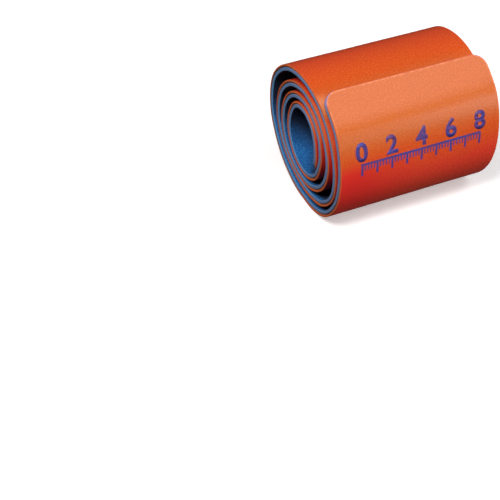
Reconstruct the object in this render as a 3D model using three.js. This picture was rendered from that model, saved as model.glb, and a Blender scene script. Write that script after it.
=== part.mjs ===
// Mouldable splint: a soft aluminium strip between two foam sheets, wound into a carrying roll.
// Millimetres. X is the roll's axis, +Z is up, and the roll lies on Z = 0 with its free tab at the -Y side.
import * as THREE from "three";
import { mergeVertices } from "three/addons/utils/BufferGeometryUtils.js";

// The strip, laid out flat
const STRIP_LENGTH = 914;
const STRIP_WIDTH = 108;
const CORNER_RADIUS = 8.5;

// The layers, from the outside of the winding to the inside
const OUTER_FOAM_THICKNESS = 1.4;
const CORE_THICKNESS = 0.4;
const INNER_FOAM_THICKNESS = 2.1;
const GLUE_LINE = 0.1;
const CORE_EDGE_INSET = 0.6;

// The winding
const TAB_ANGLE = THREE.MathUtils.degToRad(68.5);
const TURN_CLEARANCE = 0.3;
const LOOSENESS = 6.5;
const REST_FLAT_DEPTH = 0.5;

// How finely the curve is cut
const STEPS_PER_ROW = 5;
const CORNER_STEPS = 6;
const LENGTH_DIVISIONS = 2000;

// One row for every twelfth of a turn, counted along the strip from the end of its tab.
// outer is the first turn's radius, as a share of the roll's own radius.
// The other columns are the room between a turn and the one outside it, as shares of the looseness.
const WINDING = [
  { outer: 1.023, second: 0.9, third: 0.55, fourth: 0.43, fifth: 0.36 },
  { outer: 0.99, second: 0.84, third: 0.69, fourth: 0.5, fifth: 0.47 },
  { outer: 0.94, second: 0.42, third: 0.74, fourth: 0.76, fifth: 0.41 },
  { outer: 0.93, second: 0.14, third: 1.0, fourth: 0.75, fifth: 0.17 },
  { outer: 0.923, second: 0.38, third: 0.72, fourth: 0.46, fifth: 0 },
  { outer: 0.873, second: 0.51, third: 0.17, fourth: 0.33 },
  { outer: 0.87, second: 0.58, third: 0, fourth: 0.37 },
  { outer: 0.915, second: 0.52, third: 0.12, fourth: 0.65 },
  { outer: 0.99, second: 0.76, third: 0.42, fourth: 0.7 },
  { outer: 1.015, second: 0.98, third: 0.52, fourth: 0.59 },
  { outer: 0.953, second: 0.82, third: 0.39, fourth: 0.33 },
  { outer: 0.87, second: 0.54, third: 0.38, fourth: 0.28 },
];
const INNER_TURNS = ["second", "third", "fourth", "fifth"];

const THICKNESS = OUTER_FOAM_THICKNESS + CORE_THICKNESS + INNER_FOAM_THICKNESS + 2 * GLUE_LINE;

// The line that is wound is the inside of the outer foam. Gives its radius at every row, from the tab inwards.
function windingRadii(rollRadius) {
  const radii = WINDING.map((row) => row.outer * rollRadius);
  for (const turn of INNER_TURNS) {
    for (const row of WINDING) {
      if (row[turn] === undefined) {
        return radii;
      }
      const outside = radii[radii.length - WINDING.length];
      radii.push(outside - THICKNESS - TURN_CLEARANCE - LOOSENESS * row[turn]);
    }
  }
  return radii;
}

function windingCurve(rollRadius) {
  const points = windingRadii(rollRadius).map((radius, index) => {
    const angle = TAB_ANGLE - (index / WINDING.length) * 2 * Math.PI;
    return new THREE.Vector3(0, -radius * Math.cos(angle), radius * Math.sin(angle));
  });
  const curve = new THREE.CatmullRomCurve3(points);
  curve.arcLengthDivisions = LENGTH_DIVISIONS;
  return curve;
}

// A roll radius nearer to the one whose strip has the stated length, from how the length grows with it.
function nearerRadius(rollRadius) {
  const length = windingCurve(rollRadius).getLength();
  const growth = windingCurve(rollRadius + 1).getLength() - length;
  return rollRadius + (STRIP_LENGTH - length) / growth;
}

const rows = windingRadii(0).length - 1;
const turnsRound = (2 * Math.PI * rows) / WINDING.length;
const curve = windingCurve(nearerRadius(nearerRadius(STRIP_LENGTH / turnsRound)));
const outline = new THREE.Box3().setFromPoints(curve.getPoints(rows * STEPS_PER_ROW));
const middle = outline.getCenter(new THREE.Vector3());
const restLevel = outline.min.z + REST_FLAT_DEPTH;

// A point of the wound line, with the roll set on the table and its underside pressed flat there.
function linePoint(distance) {
  const point = curve.getPointAt(distance / STRIP_LENGTH);
  point.y -= middle.y;
  point.z = Math.max(point.z, restLevel) - restLevel + OUTER_FOAM_THICKNESS;
  return point;
}

// Distances along the strip: close together round the corners, and a few to each row between them.
function stationsAlong(inset) {
  const radius = CORNER_RADIUS - inset;
  const corner = [];
  for (let step = 0; step <= CORNER_STEPS; step += 1) {
    corner.push(inset + radius * (1 - Math.cos((step / CORNER_STEPS) * Math.PI / 2)));
  }
  const lengths = curve.getLengths(rows * STEPS_PER_ROW);
  const nearest = CORNER_RADIUS + STRIP_LENGTH / lengths.length / 2;
  const between = lengths.filter((length) => length > nearest && length < STRIP_LENGTH - nearest);
  const last = corner.map((distance) => STRIP_LENGTH - distance).reverse();
  return [...corner, ...between, ...last];
}

function halfWidthAt(distance, inset) {
  const radius = CORNER_RADIUS - inset;
  const fromEnd = Math.min(distance, STRIP_LENGTH - distance) - inset;
  const intoCorner = Math.max(radius - fromEnd, 0);
  return STRIP_WIDTH / 2 - CORNER_RADIUS + Math.sqrt(radius ** 2 - Math.min(intoCorner, radius) ** 2);
}

// Square to the stretch of line that begins at a station, out of the winding.
function outwardFrom(points, index) {
  const along = points[index + 1].clone().sub(points[index]);
  return along.cross(new THREE.Vector3(1, 0, 0)).normalize();
}

// Square to the line at a station, and lengthened at a bend to keep the thickness.
function outwardAt(points, index) {
  const lastStretch = points.length - 2;
  const arriving = outwardFrom(points, Math.max(index - 1, 0));
  const leaving = outwardFrom(points, Math.min(index, lastStretch));
  const sum = arriving.add(leaving);
  return sum.multiplyScalar(2 / sum.lengthSq());
}

// One layer: a box with many segments, bent along the wound line between two distances from it.
function woundLayer(name, outerFace, innerFace, inset, look) {
  const distances = stationsAlong(inset);
  const points = distances.map(linePoint);
  const segments = distances.length - 1;
  const geometry = new THREE.BoxGeometry(1, 1, segments, 1, 1, segments);
  const positions = geometry.attributes.position;
  for (let vertex = 0; vertex < positions.count; vertex += 1) {
    const station = Math.round(positions.getZ(vertex) + segments / 2);
    const face = positions.getY(vertex) > 0 ? outerFace : innerFace;
    const place = points[station].clone().addScaledVector(outwardAt(points, station), face);
    place.x = Math.sign(positions.getX(vertex)) * halfWidthAt(distances[station], inset);
    positions.setXYZ(vertex, place.x, place.y, place.z);
  }
  geometry.deleteAttribute("normal");
  geometry.deleteAttribute("uv");
  const mesh = new THREE.Mesh(mergeVertices(geometry), new THREE.MeshStandardMaterial(look));
  mesh.name = name;
  return mesh;
}

const coreOuterFace = -GLUE_LINE;
const coreInnerFace = coreOuterFace - CORE_THICKNESS;
const innerFoamOuterFace = coreInnerFace - GLUE_LINE;
const innerFoamInnerFace = innerFoamOuterFace - INNER_FOAM_THICKNESS;

const orangeFoam = { color: "#dc5a22", roughness: 0.75, metalness: 0 };
const bareAluminium = { color: "#a3a9ab", roughness: 0.45, metalness: 1 };
const blueFoam = { color: "#1d5a9a", roughness: 0.85, metalness: 0 };

const splint = new THREE.Group();
splint.add(
  woundLayer("outer_foam", OUTER_FOAM_THICKNESS, 0, 0, orangeFoam),
  woundLayer("aluminium_core", coreOuterFace, coreInnerFace, CORE_EDGE_INSET, bareAluminium),
  woundLayer("inner_foam", innerFoamOuterFace, innerFoamInnerFace, 0, blueFoam),
);

export default splint;
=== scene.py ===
"""A first-aid splint, rolled up for carrying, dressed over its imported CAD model.

The splint is one strip of three sheets: orange foam outside, soft aluminium in the middle and blue foam
inside. Each sheet is bent along the same wound line. Lengths are metres. X is the roll's axis, +Z is up,
and the roll lies on Z = 0 with its free tab at the -Y side.
"""
import math

import bmesh
import bpy
import numpy as np
from bpy.props import FloatProperty, FloatVectorProperty, IntProperty, PointerProperty
from bpy.types import Operator, Panel, PropertyGroup
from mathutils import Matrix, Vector


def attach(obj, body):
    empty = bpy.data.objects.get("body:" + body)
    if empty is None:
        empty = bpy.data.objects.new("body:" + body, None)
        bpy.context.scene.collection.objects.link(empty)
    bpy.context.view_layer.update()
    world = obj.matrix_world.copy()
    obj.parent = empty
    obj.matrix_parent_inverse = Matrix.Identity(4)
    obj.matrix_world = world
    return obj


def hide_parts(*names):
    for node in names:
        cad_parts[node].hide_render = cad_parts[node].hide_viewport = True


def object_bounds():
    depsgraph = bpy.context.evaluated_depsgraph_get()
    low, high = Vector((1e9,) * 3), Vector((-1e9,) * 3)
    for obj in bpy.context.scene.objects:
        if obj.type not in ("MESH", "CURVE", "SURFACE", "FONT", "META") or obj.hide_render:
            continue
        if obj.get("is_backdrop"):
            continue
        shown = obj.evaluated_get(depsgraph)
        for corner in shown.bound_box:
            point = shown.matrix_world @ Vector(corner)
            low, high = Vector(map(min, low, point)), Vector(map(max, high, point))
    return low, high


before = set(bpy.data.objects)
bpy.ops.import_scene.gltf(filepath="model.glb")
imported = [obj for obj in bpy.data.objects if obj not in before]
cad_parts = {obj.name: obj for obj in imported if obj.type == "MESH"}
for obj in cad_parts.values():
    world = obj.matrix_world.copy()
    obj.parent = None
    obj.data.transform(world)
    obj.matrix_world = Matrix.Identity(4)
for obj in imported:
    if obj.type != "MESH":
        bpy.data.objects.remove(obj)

bl_info = {
    "name": "Rolled Foam Splint",
    "version": (1, 0, 0),
    "blender": (4, 5, 0),
    "location": "View3D > Sidebar > Splint",
    "description": "Builds a mouldable foam splint, wound into its carrying roll",
    "category": "Object",
}

CAD_LOW, CAD_HIGH = (Vector(corner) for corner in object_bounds())
MM = 0.001
CM = 0.01

# The winding, with one value for every twelfth of a turn, from the end of the tab inwards. The first turn's
# are its radius, as shares of the roll's. The others are the room outside each further turn, as shares of the
# looseness.
FIRST_TURN = (1.023, 0.99, 0.94, 0.93, 0.923, 0.873, 0.87, 0.915, 0.99, 1.015, 0.953, 0.87)
ROOM_OUTSIDE = (
    (0.9, 0.84, 0.42, 0.14, 0.38, 0.51, 0.58, 0.52, 0.76, 0.98, 0.82, 0.54),
    (0.55, 0.69, 0.74, 1.0, 0.72, 0.17, 0.0, 0.12, 0.42, 0.52, 0.39, 0.38),
    (0.43, 0.5, 0.76, 0.75, 0.46, 0.33, 0.37, 0.65, 0.7, 0.59, 0.33, 0.28),
    (0.36, 0.47, 0.41, 0.17, 0.0),
)
ROWS_PER_TURN = len(FIRST_TURN)
SAMPLES_PER_ROW = 48

# How finely the sheets are cut
STATION_SPACING = 1.6 * MM
CORNER_STEPS = 18
COLUMN_SPACING = 4.5 * MM
NEAR_EDGE_COLUMNS = (0.35 * MM, 1.1 * MM, 2.6 * MM)
ARC_STEPS = 4
CORE_EDGE_ROUND = 0.05 * MM

# How the roll's radius is solved, and how softly its pressed underside goes over into the round
RADIUS_PASSES = 3
FLAT_EASE = 0.1 * MM

# The long waves of a sheet that is bent by hand: each one's share, its length along the strip, its length
# across it, and the angle that it begins at. Their crests swing to and fro, and they fade out near the floor.
WAVES = (
    (0.5, 0.071, 0.11, 0.4),
    (0.3, 0.043, 0.062, 1.9),
    (0.2, 0.029, 0.047, 4.4),
)
WAVE_SWING = 1.3
WAVE_FREE_HEIGHT = 2 * MM

# A sheet's finishes in their order, and the map that lays its faces out flat
OUTER_FACE, INNER_FACE, CUT_EDGE = range(3)
STRIP_MAP = "Strip"

# Distances along the strip from the end of its tab: where the next turn starts to cover it, and where it
# comes to the wall of the hollow
COVERED_FROM = 0.303
HOLLOW_FROM = 0.79

# The way that the turns' edges face where a highlight is painted on them
HIGHLIGHT_FACING = (0, -0.643, 0.766)

# Tints of the grain, and of the painted light, highlights and shade on the roll
SKIN_GRAIN_DARK = (0.45, 0.04, 0.01)
SKIN_GRAIN_PALE = (0.85, 0.22, 0.06)
NEAR_FOOT_SHADE_RED = (0.74, 0.023, 0.022)
EDGE_HIGHLIGHT_ORANGE = (0.9, 0.17, 0.06)
RIM_HIGHLIGHT_ORANGE = (0.86, 0.3, 0.12)
BESIDE_TAB_HIGHLIGHT = (0.88, 0.26, 0.1)
CUT_SHADE_BROWN = (0.22, 0.11, 0.06)
CUT_LIT_LAVENDER = (0.33, 0.3, 0.58)
CUT_GRAIN_DARK = (0.02, 0.04, 0.09)
CUT_GRAIN_PALE = (0.2, 0.32, 0.55)
HOLLOW_SHADE = (0.003, 0.007, 0.03)

# The printed scale, and how its ink lies on the foam
MARKS_PER_CM = 5
NUMERAL_EVERY = 2
NUMERAL_GAP = 2.6 * MM
NUMERAL_WEIGHT = 0.5 * MM
NUMERAL_TO_FONT_SIZE = 0.73
SHORT_TICK_WIDTH_SHARE = 0.6
INK_STRIP = 1.2 * MM
INK_SUNK = 0.08 * MM
INK_PROUD = 0.045 * MM
CUT_TOLERANCE = 1e-7
MERGE_DISTANCE = 1e-6

# The studio
LIGHTS_AIM = (0, 0, 0.045)
BOUNCE_TINT = (1, 0.72, 0.66)
FLOOR_GLOW = 0.36
WALL_GLOW = 0.7
CAMERA_PLACE = (-0.32425, -0.52654, 0.49104)
CAMERA_TURN = (math.radians(47.7248), 0, math.radians(-23.9804))
SENSOR_WIDTH_MM = 36


# Settings shown in the sidebar


class SplintSizes(PropertyGroup):
    """Sizes of the strip and of its winding."""

    strip_length: FloatProperty(
        name="Strip length",
        description="Length of the strip when unrolled",
        default=0.914,
        unit="LENGTH",
    )
    strip_width: FloatProperty(
        name="Strip width",
        description="Width of the strip, which is the roll's length",
        default=CAD_HIGH.x - CAD_LOW.x,
        unit="LENGTH",
    )
    corner_radius: FloatProperty(
        name="Corner radius",
        description="Radius of the strip's four corners",
        default=0.0085,
        unit="LENGTH",
    )
    outer_foam: FloatProperty(
        name="Outer foam",
        description="Thickness of the orange foam",
        default=0.0014,
        unit="LENGTH",
    )
    core: FloatProperty(
        name="Core", description="Thickness of the aluminium", default=0.0004, unit="LENGTH"
    )
    inner_foam: FloatProperty(
        name="Inner foam", description="Thickness of the blue foam", default=0.0021, unit="LENGTH"
    )
    glue_line: FloatProperty(
        name="Glue line",
        description="Gap between two sheets for the glue",
        default=0.0001,
        unit="LENGTH",
    )
    core_inset: FloatProperty(
        name="Core inset",
        description="How far the foam covers the core's edge",
        default=0.0006,
        unit="LENGTH",
    )
    tab_angle: FloatProperty(
        name="Tab angle",
        description="Where the tab ends, round the roll from the -Y side upwards",
        default=math.radians(68.5),
        subtype="ANGLE",
    )
    turn_clearance: FloatProperty(
        name="Turn clearance",
        description="Least gap between two turns",
        default=0.0003,
        unit="LENGTH",
    )
    looseness: FloatProperty(
        name="Looseness",
        description="Further gap where the turns spring apart",
        default=0.0065,
        unit="LENGTH",
    )
    rest_flat: FloatProperty(
        name="Rest flat",
        description="How far the underside is pressed in",
        default=0.0005,
        unit="LENGTH",
    )
    edge_round: FloatProperty(
        name="Edge rounding",
        description="Radius that the die leaves on a cut edge",
        default=0.00045,
        unit="LENGTH",
    )
    waviness: FloatProperty(
        name="Waviness",
        description="How far the sheet strays from a true bend",
        default=0.00007,
        unit="LENGTH",
    )


class SplintLooks(PropertyGroup):
    """Colours of the sheets and of the print."""

    orange_skin: FloatVectorProperty(
        name="Orange foam",
        description="Outer face of the orange foam",
        default=(0.63, 0.083, 0.012),
        subtype="COLOR",
    )
    # Painted light: a paler, yellower orange where light falls at the upper front of the roll
    orange_faded: FloatVectorProperty(
        name="Lighted orange",
        description="Orange at the tab, where light falls on it",
        default=(0.56, 0.121, 0.014),
        subtype="COLOR",
    )
    # Painted shade: a deeper orange low down and behind
    orange_deep: FloatVectorProperty(
        name="Shaded orange",
        description="Orange where light hasn't faded it",
        default=(0.82, 0.052, 0.028),
        subtype="COLOR",
    )
    # Painted shade: a redder orange between the turns
    orange_hidden: FloatVectorProperty(
        name="Gap shaded orange",
        description="Orange between the turns",
        default=(0.8, 0.023, 0.016),
        subtype="COLOR",
    )
    orange_cut: FloatVectorProperty(
        name="Cut orange",
        description="Cut edge of the orange foam",
        default=(0.75, 0.145, 0.032),
        subtype="COLOR",
    )
    blue_skin: FloatVectorProperty(
        name="Blue foam",
        description="Inner face of the blue foam",
        default=(0.003, 0.128, 0.46),
        subtype="COLOR",
    )
    blue_speck: FloatVectorProperty(
        name="Blue mottling",
        description="Paler cells of the blue foam",
        default=(0.06, 0.4, 0.7),
        subtype="COLOR",
    )
    blue_cut: FloatVectorProperty(
        name="Cut blue",
        description="Cut edge of the blue foam",
        default=(0.152, 0.257, 0.48),
        subtype="COLOR",
    )
    # Painted light: the paler, bluer cut edge low down behind
    blue_fresh: FloatVectorProperty(
        name="Lit cut blue",
        description="Cut edge where light is painted",
        default=(0.1, 0.33, 0.66),
        subtype="COLOR",
    )
    metal: FloatVectorProperty(
        name="Aluminium",
        description="Cut edge of the core",
        default=(0.42, 0.43, 0.45),
        subtype="COLOR",
    )
    ink: FloatVectorProperty(
        name="Ink",
        description="Ink of the measuring marks",
        default=(0.033, 0.047, 0.3),
        subtype="COLOR",
    )


class PrintedScale(PropertyGroup):
    """The measuring marks that are printed on the outer face, near the tab."""

    reach: IntProperty(
        name="Reach", description="Length of the scale in centimetres", default=8, min=1
    )
    from_tab: FloatProperty(
        name="From the tab",
        description="Distance from the tab's end to the base line",
        default=0.047,
        unit="LENGTH",
    )
    long_tick: FloatProperty(
        name="Long tick",
        description="Height of the centimetre marks",
        default=0.0075,
        unit="LENGTH",
    )
    short_tick: FloatProperty(
        name="Short tick", description="Height of the marks between", default=0.004, unit="LENGTH"
    )
    line_width: FloatProperty(
        name="Line width", description="Width of the printed lines", default=0.0014, unit="LENGTH"
    )
    numeral_height: FloatProperty(
        name="Numeral height", description="Height of the numerals", default=0.0115, unit="LENGTH"
    )


class StudioSettings(PropertyGroup):
    """The floor, the lights and the camera."""

    floor_radius: FloatProperty(
        name="Floor radius", description="Radius of the floor", default=3.0, unit="LENGTH"
    )
    floor_tint: FloatVectorProperty(
        name="Floor", description="Colour of the floor", default=(0.9, 0.9, 0.9), subtype="COLOR"
    )
    key_power: FloatProperty(
        name="Key", description="Power of the light at the left in watts", default=12.5, unit="POWER"
    )
    overhead_power: FloatProperty(
        name="Overhead", description="Power of the softbox above in watts", default=2.5, unit="POWER"
    )
    front_power: FloatProperty(
        name="Front", description="Power of the tall fill light in watts", default=5.1, unit="POWER"
    )
    low_power: FloatProperty(
        name="Low", description="Power of the small low softbox in watts", default=1.7, unit="POWER"
    )
    bounce_power: FloatProperty(
        name="Bounce", description="Power of the low light in front in watts", default=1.2, unit="POWER"
    )
    room_light: FloatProperty(
        name="Room light", description="Strength of the light from all round", default=0.07
    )
    room_tint: FloatVectorProperty(
        name="Room tint",
        description="Colour of the light from all round",
        default=(1.0, 0.55, 0.45),
        subtype="COLOR",
    )
    lens: FloatProperty(
        name="Lens",
        description="Focal length of the camera in millimetres",
        default=86.4,
        unit="CAMERA",
    )


# The wound line


def winding_radii(sizes, roll_radius):
    """The wound line's radius at every row, from the tab inwards."""
    step = sizes.outer_foam + sizes.core + sizes.inner_foam + 2 * sizes.glue_line + sizes.turn_clearance
    radii = [share * roll_radius for share in FIRST_TURN]
    for turn in ROOM_OUTSIDE:
        for room in turn:
            radii.append(radii[-ROWS_PER_TURN] - step - sizes.looseness * room)
    return np.array(radii)


def smooth_line(points):
    """A dense line through the points, whose bends are eased by the distance between neighbours."""
    first = 2 * points[0] - points[1]
    last = 2 * points[-1] - points[-2]
    padded = np.vstack([first, points, last])
    spans = np.sqrt(np.linalg.norm(np.diff(padded, axis=0), axis=1))
    share = np.linspace(0, 1, SAMPLES_PER_ROW, endpoint=False)[:, None]
    pieces = []
    for row in range(len(points) - 1):
        before, start, end, after = padded[row : row + 4]
        in_span, span, out_span = spans[row : row + 3]
        leave = (start - before) / in_span - (end - before) / (in_span + span) + (end - start) / span
        arrive = (end - start) / span - (after - start) / (span + out_span) + (after - end) / out_span
        leave, arrive = leave * span, arrive * span
        square = 3 * (end - start) - 2 * leave - arrive
        cube = 2 * (start - end) + leave + arrive
        pieces.append(start + leave * share + square * share**2 + cube * share**3)
    return np.vstack([*pieces, points[-1:]])


def line_length(line):
    return np.linalg.norm(np.diff(line, axis=0), axis=1).sum()


class WoundLine:
    """The line that the strip is bent along: the inside of the outer foam, seen along the roll's axis."""

    def __init__(self, sizes):
        self.sizes = sizes
        self.line = self.set_on_floor(self.wind(self.solve_radius()))
        steps = np.linalg.norm(np.diff(self.line, axis=0), axis=1)
        self.along = np.concatenate([[0], np.cumsum(steps)])
        self.along *= sizes.strip_length / self.along[-1]
        self.outward = self.outward_directions()

    def wind(self, roll_radius):
        radii = winding_radii(self.sizes, roll_radius)
        angles = self.sizes.tab_angle - np.arange(len(radii)) / ROWS_PER_TURN * 2 * math.pi
        return smooth_line(np.column_stack([-radii * np.cos(angles), radii * np.sin(angles)]))

    def solve_radius(self):
        """The roll's radius, for which the winding has the strip's length."""
        wanted = self.sizes.strip_length
        radius = wanted / (2 * math.pi * len(winding_radii(self.sizes, 0)) / ROWS_PER_TURN)
        for _ in range(RADIUS_PASSES):
            length = line_length(self.wind(radius))
            growth = line_length(self.wind(radius + MM)) - length
            radius += MM * (wanted - length) / growth
        return radius

    def set_on_floor(self, line):
        """The line centred over the origin, and pressed flat where the roll lies."""
        low, high = line.min(axis=0), line.max(axis=0)
        above_flat = line[:, 1] - (low[1] + self.sizes.rest_flat)
        height = (above_flat + np.hypot(above_flat, FLAT_EASE)) / 2
        return np.column_stack([line[:, 0] - (low[0] + high[0]) / 2, height + self.sizes.outer_foam])

    def outward_directions(self):
        """The direction square to the line and out of the roll, at each of its points."""
        tangent = np.gradient(self.line, self.along, axis=0)
        tangent /= np.linalg.norm(tangent, axis=1)[:, None]
        outward = np.column_stack([tangent[:, 1], -tangent[:, 0]])
        middle = self.line[: ROWS_PER_TURN * SAMPLES_PER_ROW].mean(axis=0)
        points_inwards = ((self.line[0] - middle) * outward[0]).sum() < 0
        return -outward if points_inwards else outward

    def at(self, distance, values):
        """Values that are given at the line's points, read at distances along it."""
        return np.stack([np.interp(distance, self.along, axis) for axis in values.T], axis=-1)

    def stray(self, across, distance):
        """How far the whole strip stands off the true bend there, from a few long waves."""
        total = np.zeros(np.broadcast(across, distance).shape)
        for share, length, cross_length, start in WAVES:
            swing = WAVE_SWING * np.sin(across / cross_length * 2 * math.pi)
            total = total + share * np.sin(distance / length * 2 * math.pi + start + swing)
        return self.sizes.waviness * total

    def place(self, across, distance, offset):
        """Points in the roll, for places on the flat strip and their distance out of the wound line."""
        across, distance, offset = np.broadcast_arrays(across, distance, offset)
        centre = self.at(distance, self.line)
        out = self.at(distance, self.outward)
        out /= np.linalg.norm(out, axis=-1)[..., None]
        off_floor = np.clip((centre[..., 1] - self.sizes.outer_foam) / WAVE_FREE_HEIGHT, 0, 1)
        strayed = offset + self.stray(across, distance) * off_floor
        bent = centre + out * strayed[..., None]
        return np.stack([across, bent[..., 0], bent[..., 1]], axis=-1)


# One sheet of the strip


def stations_along(sizes, inset):
    """Distances along the strip: close together round the corners, and even between them."""
    radius = sizes.corner_radius - inset
    corner = inset + radius * (1 - np.cos(np.linspace(0, math.pi / 2, CORNER_STEPS + 1)))
    middle = sizes.strip_length - 2 * sizes.corner_radius
    between = np.linspace(0, middle, round(middle / STATION_SPACING) + 1)[1:-1] + sizes.corner_radius
    return np.concatenate([corner, between, (sizes.strip_length - corner)[::-1]])


def half_width_at(sizes, distance, inset):
    radius = sizes.corner_radius - inset
    from_end = np.minimum(distance, sizes.strip_length - distance) - inset
    into_corner = np.clip(radius - from_end, 0, radius)
    return sizes.strip_width / 2 - sizes.corner_radius + np.sqrt(radius**2 - into_corner**2)


def columns_across(sizes):
    """Distances from one edge of a face to its columns: close together near the edges, and then even."""
    width = sizes.strip_width
    inner = width - 2 * NEAR_EDGE_COLUMNS[-1]
    count = round(inner / COLUMN_SPACING)
    near = np.array([0, *NEAR_EDGE_COLUMNS])
    even = NEAR_EDGE_COLUMNS[-1] + np.linspace(0, inner, count + 1)[1:-1]
    return np.concatenate([near, even, width - near[::-1]])


def edge_profile(outer_face, inner_face, rounding):
    """The cut edge from the inner face to the outer one: pairs of how far in, and how far out."""
    turn = np.linspace(0, math.pi / 2, ARC_STEPS + 1)
    inner = np.column_stack([rounding * (1 - np.sin(turn)), inner_face + rounding * (1 - np.cos(turn))])
    outer = np.column_stack([rounding * (1 - np.cos(turn)), outer_face - rounding * (1 - np.sin(turn))])
    return np.vstack([inner, outer])


def box_surface(shape):
    """The places of the surface points in a box of points, and the box with each one's number in it."""
    places = np.indices(shape)
    ends = [(place == 0) | (place == count - 1) for place, count in zip(places, shape)]
    on_surface = ends[0] | ends[1] | ends[2]
    number = np.full(shape, -1)
    number[on_surface] = np.arange(on_surface.sum())
    return places[:, on_surface], number


def box_faces(number):
    """The faces between the numbered surface points of a box, and the finish of each."""
    grids = (
        (number[:, :, -1], OUTER_FACE, False),
        (number[:, :, 0], INNER_FACE, True),
        (number[:, 0, :], CUT_EDGE, False),
        (number[:, -1, :], CUT_EDGE, True),
        (number[0, :, :], CUT_EDGE, True),
        (number[-1, :, :], CUT_EDGE, False),
    )
    quads, finishes = [], []
    for grid, finish, flip in grids:
        ring = [grid[:-1, :-1], grid[1:, :-1], grid[1:, 1:], grid[:-1, 1:]]
        ring = np.stack(ring, axis=-1).reshape(-1, 4)
        quads.append(ring[:, ::-1] if flip else ring)
        finishes.append(np.full(len(ring), finish))
    return np.vstack(quads), np.concatenate(finishes)


def sheet_mesh(name, wound, outer_face, inner_face, inset, rounding, finishes):
    """A closed sheet with rounded corners and edges, bent along the wound line.

    It is a box of stations by columns by profile steps, of which only the surface is kept. finishes are its
    materials: the outer face, the inner face and the cut edge. The map gives a face's place across and along
    the strip, in metres, and a cut edge's place along the strip and through it.
    """
    sizes = wound.sizes
    columns = columns_across(sizes)
    profile = edge_profile(outer_face, inner_face, rounding)
    insets = inset + profile[:, 0]
    stations = np.array([stations_along(sizes, depth) for depth in insets])
    half_widths = np.array([half_width_at(sizes, line, depth) for line, depth in zip(stations, insets)])
    (station, column, step), number = box_surface((stations.shape[1], len(columns), len(profile)))
    distance = stations[step, station]
    across = half_widths[step, station] * (columns[column] / (sizes.strip_width / 2) - 1)
    points = wound.place(across, distance, profile[step, 1])
    quads, slots = box_faces(number)

    mesh = bpy.data.meshes.new(name)
    mesh.from_pydata(points.tolist(), [], quads.tolist())
    mesh.update()
    for finish in finishes:
        mesh.materials.append(finish)
    mesh.polygons.foreach_set("material_index", slots.astype(np.int32))
    mesh.polygons.foreach_set("use_smooth", np.ones(len(quads), dtype=bool))

    corners = quads.ravel()
    on_face = np.column_stack([across, distance])[corners]
    on_edge = np.column_stack([distance, insets[step] + profile[step, 1]])[corners]
    is_edge = np.repeat(slots == CUT_EDGE, 4)[:, None]
    mesh.uv_layers.new(name=STRIP_MAP)
    flat = np.where(is_edge, on_edge, on_face)
    mesh.uv_layers[STRIP_MAP].data.foreach_set("uv", flat.astype(np.float32).ravel())
    return mesh


def outward_check(mesh):
    """Turns the faces outwards, and raises an error if the sheet isn't closed."""
    shape = bmesh.new()
    shape.from_mesh(mesh)
    if any(not edge.is_manifold for edge in shape.edges):
        raise RuntimeError(f"{mesh.name} isn't closed")
    if shape.calc_volume(signed=True) < 0:
        bmesh.ops.reverse_faces(shape, faces=shape.faces)
    shape.to_mesh(mesh)
    shape.free()


def add_piece(mesh, node):
    """Shows the mesh in place of the CAD node, riding on the roll's one body."""
    piece = bpy.data.objects.new(mesh.name, mesh)
    bpy.context.scene.collection.objects.link(piece)
    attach(piece, "root")
    if node:
        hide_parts(node)
    return piece


# Finishes


# The colour sockets of a Mix node, which has further sockets of the same names for other kinds of value
MIX_FIRST, MIX_SECOND, MIX_RESULT = 6, 7, 2


def darker(tint, share):
    return tuple(channel * share for channel in tint)


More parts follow.
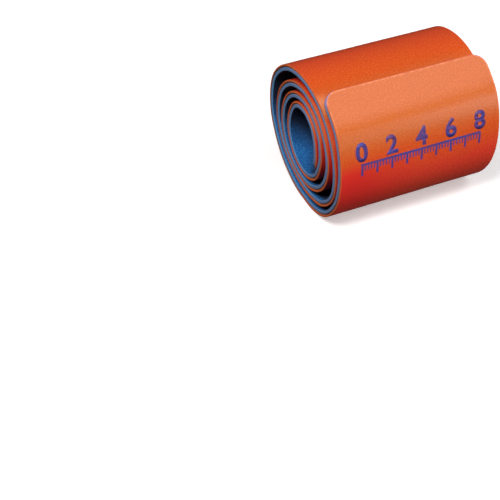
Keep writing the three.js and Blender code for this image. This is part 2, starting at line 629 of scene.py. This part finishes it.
class Finish:
    """A material under construction, with short ways to add its nodes."""

    def __init__(self, name, roughness, metallic=0.0):
        self.material = bpy.data.materials.new(name)
        self.material.use_nodes = True
        self.nodes = self.material.node_tree.nodes
        self.links = self.material.node_tree.links
        self.shader = self.nodes["Principled BSDF"]
        self.shader.inputs["Roughness"].default_value = roughness
        self.shader.inputs["Metallic"].default_value = metallic

    def add(self, kind, **settings):
        node = self.nodes.new(kind)
        for key, value in settings.items():
            setattr(node, key, value)
        return node

    def join(self, source, target):
        self.links.new(source, target)

    def strip_place(self):
        """Coordinates on the flat strip, in metres."""
        return self.add("ShaderNodeUVMap", uv_map=STRIP_MAP).outputs["UV"]

    def solid_place(self):
        """Coordinates in the roll as it lies, in metres."""
        return self.add("ShaderNodeTexCoord").outputs["Object"]

    def split(self, place):
        """A place's X, Y and Z."""
        parts = self.add("ShaderNodeSeparateXYZ")
        self.join(place, parts.inputs["Vector"])
        return parts.outputs["X"], parts.outputs["Y"], parts.outputs["Z"]

    def noise(self, place, grain, detail=2.0, roughness=0.5):
        """Noise whose grains are about the given number of metres across."""
        noise = self.add("ShaderNodeTexNoise")
        noise.inputs["Scale"].default_value = 1 / grain
        noise.inputs["Detail"].default_value = detail
        noise.inputs["Roughness"].default_value = roughness
        self.join(place, noise.inputs["Vector"])
        return noise.outputs["Fac"]

    def cells(self, place, grain):
        """The depth within cells that are about the given number of metres across."""
        cells = self.add("ShaderNodeTexVoronoi")
        cells.inputs["Scale"].default_value = 1 / grain
        self.join(place, cells.inputs["Vector"])
        return cells.outputs["Distance"]

    def math(self, operation, *values):
        node = self.add("ShaderNodeMath", operation=operation)
        for value, socket in zip(values, node.inputs):
            if isinstance(value, bpy.types.NodeSocket):
                self.join(value, socket)
            else:
                socket.default_value = value
        return node.outputs["Value"]

    def product(self, first, *others):
        for value in others:
            first = self.math("MULTIPLY", first, value)
        return first

    def sum(self, first, second, share):
        """The first value, and a share of the second."""
        return self.math("ADD", first, self.product(second, share))

    def spread(self, value, low, high, to_low=0.0, to_high=1.0):
        """Carries the span from low to high over to the one from to_low to to_high, and stops at its ends."""
        spread = self.add("ShaderNodeMapRange", clamp=True)
        for key, number in (("From Min", low), ("From Max", high), ("To Min", to_low), ("To Max", to_high)):
            spread.inputs[key].default_value = number
        self.join(value, spread.inputs["Value"])
        return spread.outputs["Result"]

    def between(self, value, start, full, fading, end):
        """Rises from 0 at start to 1 at full, and falls again from 1 at fading to 0 at end."""
        return self.math("MINIMUM", self.spread(value, start, full), self.spread(value, end, fading))

    def blend(self, share, first, second):
        """Mixes two colours, each given as numbers or as a node's output."""
        mix = self.add("ShaderNodeMix", data_type="RGBA")
        self.join(share, mix.inputs["Factor"])
        for source, target in ((first, mix.inputs[MIX_FIRST]), (second, mix.inputs[MIX_SECOND])):
            if isinstance(source, bpy.types.NodeSocket):
                self.join(source, target)
            else:
                target.default_value = (*source, 1)
        return mix.outputs[MIX_RESULT]

    def grained(self, tone, grain, most, dark, pale):
        """Tints the troughs of the grain dark and its peaks pale, each by up to the given share."""
        tone = self.blend(self.spread(grain, 0.5, 0.3, 0, most), tone, dark)
        return self.blend(self.spread(grain, 0.5, 0.7, 0, most), tone, pale)

    def bump(self, height, depth, strength, under=None):
        """A normal from a height, over another normal where one is given."""
        bump = self.add("ShaderNodeBump")
        bump.inputs["Distance"].default_value = depth
        bump.inputs["Strength"].default_value = strength
        self.join(height, bump.inputs["Height"])
        if under:
            self.join(under, bump.inputs["Normal"])
        return bump.outputs["Normal"]

    def glow(self, strength):
        """Makes the surface shine white by itself."""
        self.shader.inputs["Emission Color"].default_value = (1, 1, 1, 1)
        self.shader.inputs["Emission Strength"].default_value = strength

    def complete(self, colour, roughness=None, normal=None):
        for value, socket in ((colour, "Base Color"), (roughness, "Roughness"), (normal, "Normal")):
            if value:
                self.join(value, self.shader.inputs[socket])
        return self.material


class SkinFinish(Finish):
    """A finish for a face of the strip, with each point's place on the strip and in the roll."""

    def __init__(self, name, roughness, sizes):
        super().__init__(name, roughness)
        self.sizes = sizes
        self.place = self.strip_place()
        self.across, self.along, _ = self.split(self.place)
        _, self.back, self.height = self.split(self.solid_place())
        self.from_side = self.math("SUBTRACT", sizes.strip_width / 2, self.math("ABSOLUTE", self.across))

    def from_outline(self):
        """How far a point is from the strip's outline at the tab, up to the corner's radius."""
        radius = self.sizes.corner_radius
        corner_at = self.sizes.strip_width / 2 - radius
        sideways = self.math("SUBTRACT", self.math("ABSOLUTE", self.across), corner_at)
        endways = self.math("SUBTRACT", radius, self.along)
        squares = [self.math("POWER", self.math("MAXIMUM", way, 0.0), 2.0) for way in (sideways, endways)]
        return self.math("SUBTRACT", radius, self.math("SQRT", self.math("ADD", *squares)))


class CutFinish(Finish):
    """A finish for the cut edge, with each point's place in the roll and its distance along the strip.

    low_behind grows towards the roll's lower back.
    """

    def __init__(self, name, roughness):
        super().__init__(name, roughness)
        self.place = self.solid_place()
        _, back, height = self.split(self.place)
        self.low_behind = self.sum(back, height, -0.6)
        self.along, _, _ = self.split(self.strip_place())


def orange_by_place(skin, looks, cloudy_height, cloud):
    """Painted light at the upper front, painted shade low down and behind, and redder painted shade where the
    next turn covers it.
    """
    # Painted light: the paler orange at the upper front, where the lamps fall, short of the covered turns
    front, upper = skin.spread(skin.back, -0.006, -0.022), skin.spread(skin.height, 0.06, 0.07)
    uncovered = skin.spread(skin.along, COVERED_FROM + 0.003, COVERED_FROM - 0.004)
    lighted = skin.math("MINIMUM", skin.math("MINIMUM", front, upper), uncovered)
    tone = skin.blend(lighted, looks.orange_skin, looks.orange_faded)
    # Painted shade: a deeper orange low down and towards the back
    low = skin.spread(cloudy_height, 0.068, 0.05)
    behind = skin.spread(skin.sum(skin.back, cloud, 0.02), 0.005, 0.03, 0, 0.5)
    tone = skin.blend(skin.math("MAXIMUM", low, behind), tone, looks.orange_deep)
    # Painted shade between the turns: redder where the next turn covers the strip, the more so away from its
    # sides
    covered = skin.spread(skin.along, COVERED_FROM, COVERED_FROM + 0.007)
    away_from_side = skin.spread(skin.from_side, 0, 0.0032, 0.35, 1)
    return skin.blend(skin.product(covered, away_from_side), tone, looks.orange_hidden)


def worn_orange(skin, tone, grain):
    """Painted highlights: paler on the turns' upper edges, along the tab's rim, and beside the tab's corners.
    """
    # Painted highlight on the side edges of the inner turns that face up and to the front
    facing = skin.add("ShaderNodeVectorMath", operation="DOT_PRODUCT")
    skin.join(skin.add("ShaderNodeNewGeometry").outputs["Normal"], facing.inputs[0])
    facing.inputs[1].default_value = HIGHLIGHT_FACING
    edge_highlight = skin.product(
        skin.spread(facing.outputs["Value"], 0.9, 0.98),
        skin.spread(skin.from_side, 0.0035, 0.0005),
        skin.spread(skin.along, COVERED_FROM - 0.003, COVERED_FROM + 0.017, 0, 0.7),
    )
    tone = skin.blend(edge_highlight, tone, EDGE_HIGHLIGHT_ORANGE)
    # Painted highlight along the rim of the tab's end, broken up by noise
    rim_highlight = skin.product(
        skin.spread(skin.from_outline(), 0.0014, 0.0004),
        skin.spread(skin.along, 0.03, 0.015),
        skin.spread(skin.noise(skin.place, 0.003, detail=3), 0.42, 0.6, 0.1, 0.9),
    )
    tone = skin.blend(rim_highlight, tone, RIM_HIGHLIGHT_ORANGE)
    # Painted highlight on the next turn beside the tab's corners, broken by the grain
    beside_tab_highlight = skin.product(
        skin.between(skin.along, 0.288, 0.2955, 0.299, 0.305),
        skin.spread(skin.from_side, 0.008, 0.004),
        skin.spread(grain, 0.35, 0.6, 0.6, 1),
    )
    return skin.blend(beside_tab_highlight, tone, BESIDE_TAB_HIGHLIGHT)


def orange_skin_finish(looks, sizes):
    """Closed-cell foam skin with a fine grain and a soft sheen, with painted light, shade and highlights by
    place.
    """
    skin = SkinFinish("orange_foam_skin", 0.35, sizes)
    skin.shader.inputs["Specular IOR Level"].default_value = 0.62
    cloud = skin.noise(skin.place, 0.05, detail=3)
    grain = skin.noise(skin.place, 0.0011, detail=3, roughness=0.7)
    cloudy_height = skin.sum(skin.height, cloud, 0.02)
    tone = orange_by_place(skin, looks, cloudy_height, cloud)
    tone = skin.grained(tone, grain, 0.4, SKIN_GRAIN_DARK, SKIN_GRAIN_PALE)
    # Painted shade: redder low down at the roll's near end
    near_end = skin.spread(skin.across, 0, -0.042, 0, 0.82)
    tone = skin.blend(skin.product(near_end, skin.spread(cloudy_height, 0.072, 0.06)), tone, NEAR_FOOT_SHADE_RED)
    tone = worn_orange(skin, tone, grain)
    rough = skin.spread(skin.noise(skin.place, 0.018, detail=4), 0.3, 0.7, 0.19, 0.25)
    pores = skin.bump(grain, 0.00025, 0.55)
    dents = skin.bump(skin.noise(skin.place, 0.009, detail=2), 0.001, 0.05, under=pores)
    return skin.complete(tone, rough, dents)


def orange_cut_finish(looks):
    """Cut orange foam: painted shade, browner low down behind, and painted light, lavender, round the tab's
    corners.
    """
    cut = CutFinish("orange_foam_cut", 0.85)
    grain = cut.noise(cut.place, 0.0008, detail=3, roughness=0.7)
    tone = cut.blend(cut.spread(grain, 0.3, 0.7), darker(looks.orange_cut, 0.72), looks.orange_cut)
    # Painted shade: browner towards the lower back
    tone = cut.blend(cut.spread(cut.low_behind, -0.006, 0.02, 0, 0.75), tone, CUT_SHADE_BROWN)
    # Painted light: a pale lavender on the cut edge round the tab's corners
    lit_corner = cut.product(cut.between(cut.along, 0.0002, 0.001, 0.006, 0.01), 0.7)
    tone = cut.blend(lit_corner, tone, CUT_LIT_LAVENDER)
    cells = cut.bump(cut.cells(cut.place, 0.0005), 0.0002, 0.5)
    return cut.complete(tone, normal=cells)


def blue_skin_finish(looks, sizes):
    """Blue foam with an open, mottled surface, with painted shade deep in the roll and overhead."""
    skin = SkinFinish("blue_foam_skin", 0.9, sizes)
    mottle = skin.noise(skin.place, 0.0013, detail=3, roughness=0.7)
    cloud = skin.noise(skin.place, 0.03, detail=2)
    tone = skin.blend(skin.spread(mottle, 0.47, 0.68, 0, 0.75), looks.blue_skin, looks.blue_speck)
    tone = skin.blend(skin.spread(cloud, 0.45, 0.7, 0, 0.5), tone, darker(looks.blue_skin, 0.55))
    # Painted shade: darker deep in the roll and high up in the hollow
    reach = skin.spread(skin.along, HOLLOW_FROM, HOLLOW_FROM + 0.02, 0.004, 0.022)
    deep_in = skin.spread(skin.math("DIVIDE", skin.from_side, reach), 0.2, 1.0, 0, 0.9)
    overhead = skin.spread(skin.sum(skin.height, skin.from_side, 0.8), 0.031, 0.049, 0.1, 0.92)
    tone = skin.blend(skin.math("MAXIMUM", deep_in, overhead), tone, HOLLOW_SHADE)
    cells = skin.bump(skin.cells(skin.place, 0.0011), 0.0005, 0.5)
    lumps = skin.bump(mottle, 0.0008, 0.6, under=cells)
    return skin.complete(tone, normal=lumps)


def blue_cut_finish(looks):
    """Cut blue foam: painted light, paler and bluer low down behind, and painted light, lavender, at the tab.
    """
    cut = CutFinish("blue_foam_cut", 0.9)
    # Painted light: paler and bluer towards the lower back
    tone = cut.blend(cut.spread(cut.low_behind, -0.03, 0.02), looks.blue_cut, looks.blue_fresh)
    grain = cut.noise(cut.place, 0.0013, detail=4, roughness=0.7)
    tone = cut.grained(tone, grain, 0.3, CUT_GRAIN_DARK, CUT_GRAIN_PALE)
    # Painted light: a pale lavender on the cut edge near the tab's end
    tone = cut.blend(cut.spread(cut.along, 0.011, 0.004, 0, 0.8), tone, CUT_LIT_LAVENDER)
    cells = cut.bump(cut.cells(cut.place, 0.0006), 0.0003, 0.5)
    return cut.complete(tone, normal=cells)


def core_finish(looks):
    """Soft sheet aluminium, with shear marks along its cut edge."""
    metal = Finish("mill_aluminium", 0.5, metallic=1.0)
    marks = metal.noise(metal.solid_place(), 0.0009, detail=3)
    tone = metal.blend(metal.spread(marks, 0.3, 0.7), darker(looks.metal, 0.6), looks.metal)
    rough = metal.spread(marks, 0.3, 0.7, 0.42, 0.65)
    return metal.complete(tone, rough, metal.bump(marks, 0.0001, 0.5))


def ink_finish(looks):
    """Printed ink, worn thin in places so that the orange shows through."""
    print_ink = Finish("printed_ink", 0.55)
    place = print_ink.solid_place()
    cloud = print_ink.noise(place, 0.018, detail=3)
    specks = print_ink.noise(place, 0.0006, detail=2)
    faint = tuple(channel * 0.6 + warm * 0.12 for channel, warm in zip(looks.ink, looks.orange_skin))
    tone = print_ink.blend(print_ink.spread(cloud, 0.4, 0.65), looks.ink, faint)
    tone = print_ink.blend(print_ink.spread(specks, 0.58, 0.7, 0, 0.25), tone, looks.orange_skin)
    return print_ink.complete(tone, normal=print_ink.bump(specks, 0.0003, 0.3))


def glowing_finish(name, roughness, glow, patch, tints):
    """A plain finish for the stage, in two tints that pass into each other in soft patches."""
    plain = Finish(name, roughness)
    plain.glow(glow)
    return plain.complete(plain.blend(plain.noise(plain.solid_place(), patch, detail=2), *tints))


# The printed scale


def bar(shape, left, right, near, far):
    """A flat bar on the strip, between two places across and two distances from the tab."""
    corners = ((left, near), (right, near), (right, far), (left, far))
    shape.faces.new([shape.verts.new((x, y, 0)) for x, y in corners])


def numeral(text, height):
    """The outline of a number as a flat mesh, its foot on the X axis and its middle at the origin."""
    curve = bpy.data.curves.new("numeral", "FONT")
    curve.body = text
    curve.size = height / NUMERAL_TO_FONT_SIZE
    curve.offset = NUMERAL_WEIGHT
    curve.align_x = "CENTER"
    curve.resolution_u = 6
    letter = bpy.data.objects.new("numeral", curve)
    bpy.context.scene.collection.objects.link(letter)
    flat = bpy.data.meshes.new_from_object(letter)
    bpy.data.objects.remove(letter)
    bpy.data.curves.remove(curve)
    return flat


def scale_marks(marks):
    """The scale laid out flat: X across the strip, and Y from the tab's end, down the page."""
    shape = bmesh.new()
    half = marks.reach * CM / 2
    line = marks.line_width / 2
    base = marks.from_tab
    bar(shape, -half - line, half + line, base - line, base + line)
    for step in range(marks.reach * MARKS_PER_CM + 1):
        middle = -half + step * CM / MARKS_PER_CM
        long = step % MARKS_PER_CM == 0
        height = marks.long_tick if long else marks.short_tick
        width = line if long else line * SHORT_TICK_WIDTH_SHARE
        bar(shape, middle - width, middle + width, base + line, base + height)
    for number in range(0, marks.reach + 1, NUMERAL_EVERY):
        flat = numeral(str(number), marks.numeral_height)
        for vertex in flat.vertices:
            vertex.co.y = base - NUMERAL_GAP - vertex.co.y
            vertex.co.x += number * CM - half
        shape.from_mesh(flat)
        bpy.data.meshes.remove(flat)
    return shape


def bend_marks(shape, wound):
    """Cuts the flat marks into narrow strips, gives them the ink's thickness and bends them onto the foam."""
    levels = [vertex.co.y for vertex in shape.verts]
    for level in np.arange(min(levels) + MM, max(levels), INK_STRIP):
        everything = shape.verts[:] + shape.edges[:] + shape.faces[:]
        cut = {"plane_co": (0, level, 0), "plane_no": (0, 1, 0), "dist": CUT_TOLERANCE}
        bmesh.ops.bisect_plane(shape, geom=everything, **cut)
    bmesh.ops.remove_doubles(shape, verts=shape.verts, dist=MERGE_DISTANCE)
    top = set(shape.verts)
    bmesh.ops.extrude_face_region(shape, geom=shape.faces[:])
    face = wound.sizes.outer_foam
    for vertex in shape.verts:
        offset = face + INK_PROUD if vertex in top else face - INK_SUNK
        vertex.co = wound.place(vertex.co.x, vertex.co.y, offset).tolist()
    bmesh.ops.recalc_face_normals(shape, faces=shape.faces)


# Operators


def wound_line(context):
    return WoundLine(context.scene.splint_sizes)


class SPLINT_OT_outer_foam(Operator):
    """Build the orange foam sheet on the outside of the winding"""

    bl_idname = "splint.outer_foam"
    bl_label = "Outer foam"

    def execute(self, context):
        sizes, looks = context.scene.splint_sizes, context.scene.splint_looks
        skin, cut = orange_skin_finish(looks, sizes), orange_cut_finish(looks)
        mesh = sheet_mesh(
            "orange_foam_sheet",
            wound_line(context),
            sizes.outer_foam,
            0,
            0,
            sizes.edge_round,
            (skin, cut, cut),
        )
        outward_check(mesh)
        add_piece(mesh, "outer_foam")
        return {"FINISHED"}


class SPLINT_OT_aluminium_core(Operator):
    """Build the soft aluminium sheet in the middle of the strip"""

    bl_idname = "splint.aluminium_core"
    bl_label = "Aluminium core"

    def execute(self, context):
        sizes, metal = context.scene.splint_sizes, core_finish(context.scene.splint_looks)
        outer = -sizes.glue_line
        mesh = sheet_mesh(
            "aluminium_strip",
            wound_line(context),
            outer,
            outer - sizes.core,
            sizes.core_inset,
            CORE_EDGE_ROUND,
            (metal, metal, metal),
        )
        outward_check(mesh)
        add_piece(mesh, "aluminium_core")
        return {"FINISHED"}


class SPLINT_OT_inner_foam(Operator):
    """Build the blue foam sheet on the inside of the winding"""

    bl_idname = "splint.inner_foam"
    bl_label = "Inner foam"

    def execute(self, context):
        sizes, looks = context.scene.splint_sizes, context.scene.splint_looks
        skin, cut = blue_skin_finish(looks, sizes), blue_cut_finish(looks)
        outer = -2 * sizes.glue_line - sizes.core
        mesh = sheet_mesh(
            "blue_foam_sheet",
            wound_line(context),
            outer,
            outer - sizes.inner_foam,
            0,
            sizes.edge_round,
            (cut, skin, cut),
        )
        outward_check(mesh)
        add_piece(mesh, "inner_foam")
        return {"FINISHED"}


class SPLINT_OT_printed_scale(Operator):
    """Print a plain measuring scale with numerals on the outer face, near the tab"""

    bl_idname = "splint.printed_scale"
    bl_label = "Printed scale"

    def execute(self, context):
        shape = scale_marks(context.scene.splint_marks)
        bend_marks(shape, wound_line(context))
        mesh = bpy.data.meshes.new("printed_scale")
        shape.to_mesh(mesh)
        shape.free()
        mesh.materials.append(ink_finish(context.scene.splint_looks))
        add_piece(mesh, None)
        return {"FINISHED"}


def soft_light(name, place, size, power):
    lamp = bpy.data.lights.new(name, "AREA")
    lamp.shape = "RECTANGLE"
    lamp.size, lamp.size_y = size
    lamp.energy = power
    light = bpy.data.objects.new(name, lamp)
    light.location = place
    light.rotation_euler = (Vector(LIGHTS_AIM) - light.location).to_track_quat("-Z", "Y").to_euler()
    bpy.context.scene.collection.objects.link(light)
    return light


def backdrop(name, shape, finish, unseen_by):
    """A part of the stage, which the named kinds of ray pass through."""
    mesh = bpy.data.meshes.new(name)
    shape.to_mesh(mesh)
    shape.free()
    mesh.materials.append(finish)
    thing = bpy.data.objects.new(name, mesh)
    bpy.context.scene.collection.objects.link(thing)
    for ray in unseen_by:
        setattr(thing, f"visible_{ray}", False)
    return thing


class SPLINT_OT_studio(Operator):
    """Set up the floor, the soft lights and the camera"""

    bl_idname = "splint.studio"
    bl_label = "Studio"

    def execute(self, context):
        studio = context.scene.splint_studio
        self.add_floor(studio)
        self.add_wall(studio)
        self.add_lights(studio)
        self.add_room_light(context, studio)
        self.add_camera(context, studio)
        context.scene.view_settings.view_transform = "Standard"
        return {"FINISHED"}

    def add_floor(self, studio):
        shape = bmesh.new()
        bmesh.ops.create_circle(shape, cap_ends=True, radius=studio.floor_radius, segments=96)
        tints = (studio.floor_tint, darker(studio.floor_tint, 0.97))
        finish = glowing_finish("pale_floor", 0.9, FLOOR_GLOW, 0.4, tints)
        floor = backdrop("studio_floor", shape, finish, ("diffuse", "glossy"))
        floor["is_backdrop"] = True

    def add_wall(self, studio):
        """A pale dome, seen behind the floor from low down. It sheds no light on the roll."""
        shape = bmesh.new()
        bmesh.ops.create_uvsphere(shape, u_segments=64, v_segments=32, radius=studio.floor_radius)
        finish = glowing_finish("pale_wall", 1.0, WALL_GLOW, 0.8, ((0.1, 0.1, 0.1), (0.12, 0.12, 0.12)))
        wall = backdrop("studio_wall", shape, finish, ("diffuse", "glossy", "transmission", "shadow"))
        wall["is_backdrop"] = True

    def add_lights(self, studio):
        """Three softboxes, and two fill lights that leave no gloss."""
        soft_light("key_softbox", (-0.56, -0.39, 1.03), (0.4, 0.4), studio.key_power)
        soft_light("overhead_softbox", (0.485, -0.325, 0.977), (0.9, 0.6), studio.overhead_power)
        soft_light("low_softbox", (0.8, -0.93, 0.37), (0.5, 0.4), studio.low_power)
        front = soft_light("front_fill", (0.485, -0.759, 0.676), (0.9, 1.52), studio.front_power)
        bounce = soft_light("floor_bounce", (0.2, -0.85, 0.17), (0.6, 0.25), studio.bounce_power)
        bounce.data.color = BOUNCE_TINT
        front.visible_glossy = False
        bounce.visible_glossy = False

    def add_room_light(self, context, studio):
        world = bpy.data.worlds.new("studio_air")
        world.use_nodes = True
        air = world.node_tree.nodes["Background"]
        air.inputs["Strength"].default_value = studio.room_light
        air.inputs["Color"].default_value = (*studio.room_tint, 1)
        context.scene.world = world

    def add_camera(self, context, studio):
        lens = bpy.data.cameras.new("camera")
        lens.sensor_width = SENSOR_WIDTH_MM
        lens.lens = studio.lens
        lens.clip_start, lens.clip_end = 0.05, 20
        camera = bpy.data.objects.new("camera", lens)
        camera.location = CAMERA_PLACE
        camera.rotation_euler = CAMERA_TURN
        context.scene.collection.objects.link(camera)
        context.scene.camera = camera


OPERATORS = (
    SPLINT_OT_outer_foam,
    SPLINT_OT_aluminium_core,
    SPLINT_OT_inner_foam,
    SPLINT_OT_printed_scale,
    SPLINT_OT_studio,
)


class SPLINT_PT_panel(Panel):
    """Lists the splint's pieces and settings"""

    bl_label = "Rolled Splint"
    bl_idname = "SPLINT_PT_panel"
    bl_space_type = "VIEW_3D"
    bl_region_type = "UI"
    bl_category = "Splint"

    def draw(self, context):
        for operator in OPERATORS:
            self.layout.operator(operator.bl_idname)
        for key in SETTINGS:
            settings = getattr(context.scene, key)
            box = self.layout.box()
            for name in settings.__annotations__:
                box.prop(settings, name)


SETTINGS = {
    "splint_sizes": SplintSizes,
    "splint_looks": SplintLooks,
    "splint_marks": PrintedScale,
    "splint_studio": StudioSettings,
}


def register():
    for kind in (*SETTINGS.values(), *OPERATORS, SPLINT_PT_panel):
        bpy.utils.register_class(kind)
    for key, kind in SETTINGS.items():
        setattr(bpy.types.Scene, key, PointerProperty(type=kind))


def unregister():
    for key in SETTINGS:
        delattr(bpy.types.Scene, key)
    for kind in (SPLINT_PT_panel, *reversed(OPERATORS), *reversed(SETTINGS.values())):
        bpy.utils.unregister_class(kind)


def corners(box):
    return [list(corner) for corner in box]


def main():
    register()
    bpy.ops.splint.outer_foam()
    bpy.ops.splint.aluminium_core()
    bpy.ops.splint.inner_foam()
    bpy.ops.splint.printed_scale()
    bpy.ops.splint.studio()


if __name__ == "__main__":
    main()
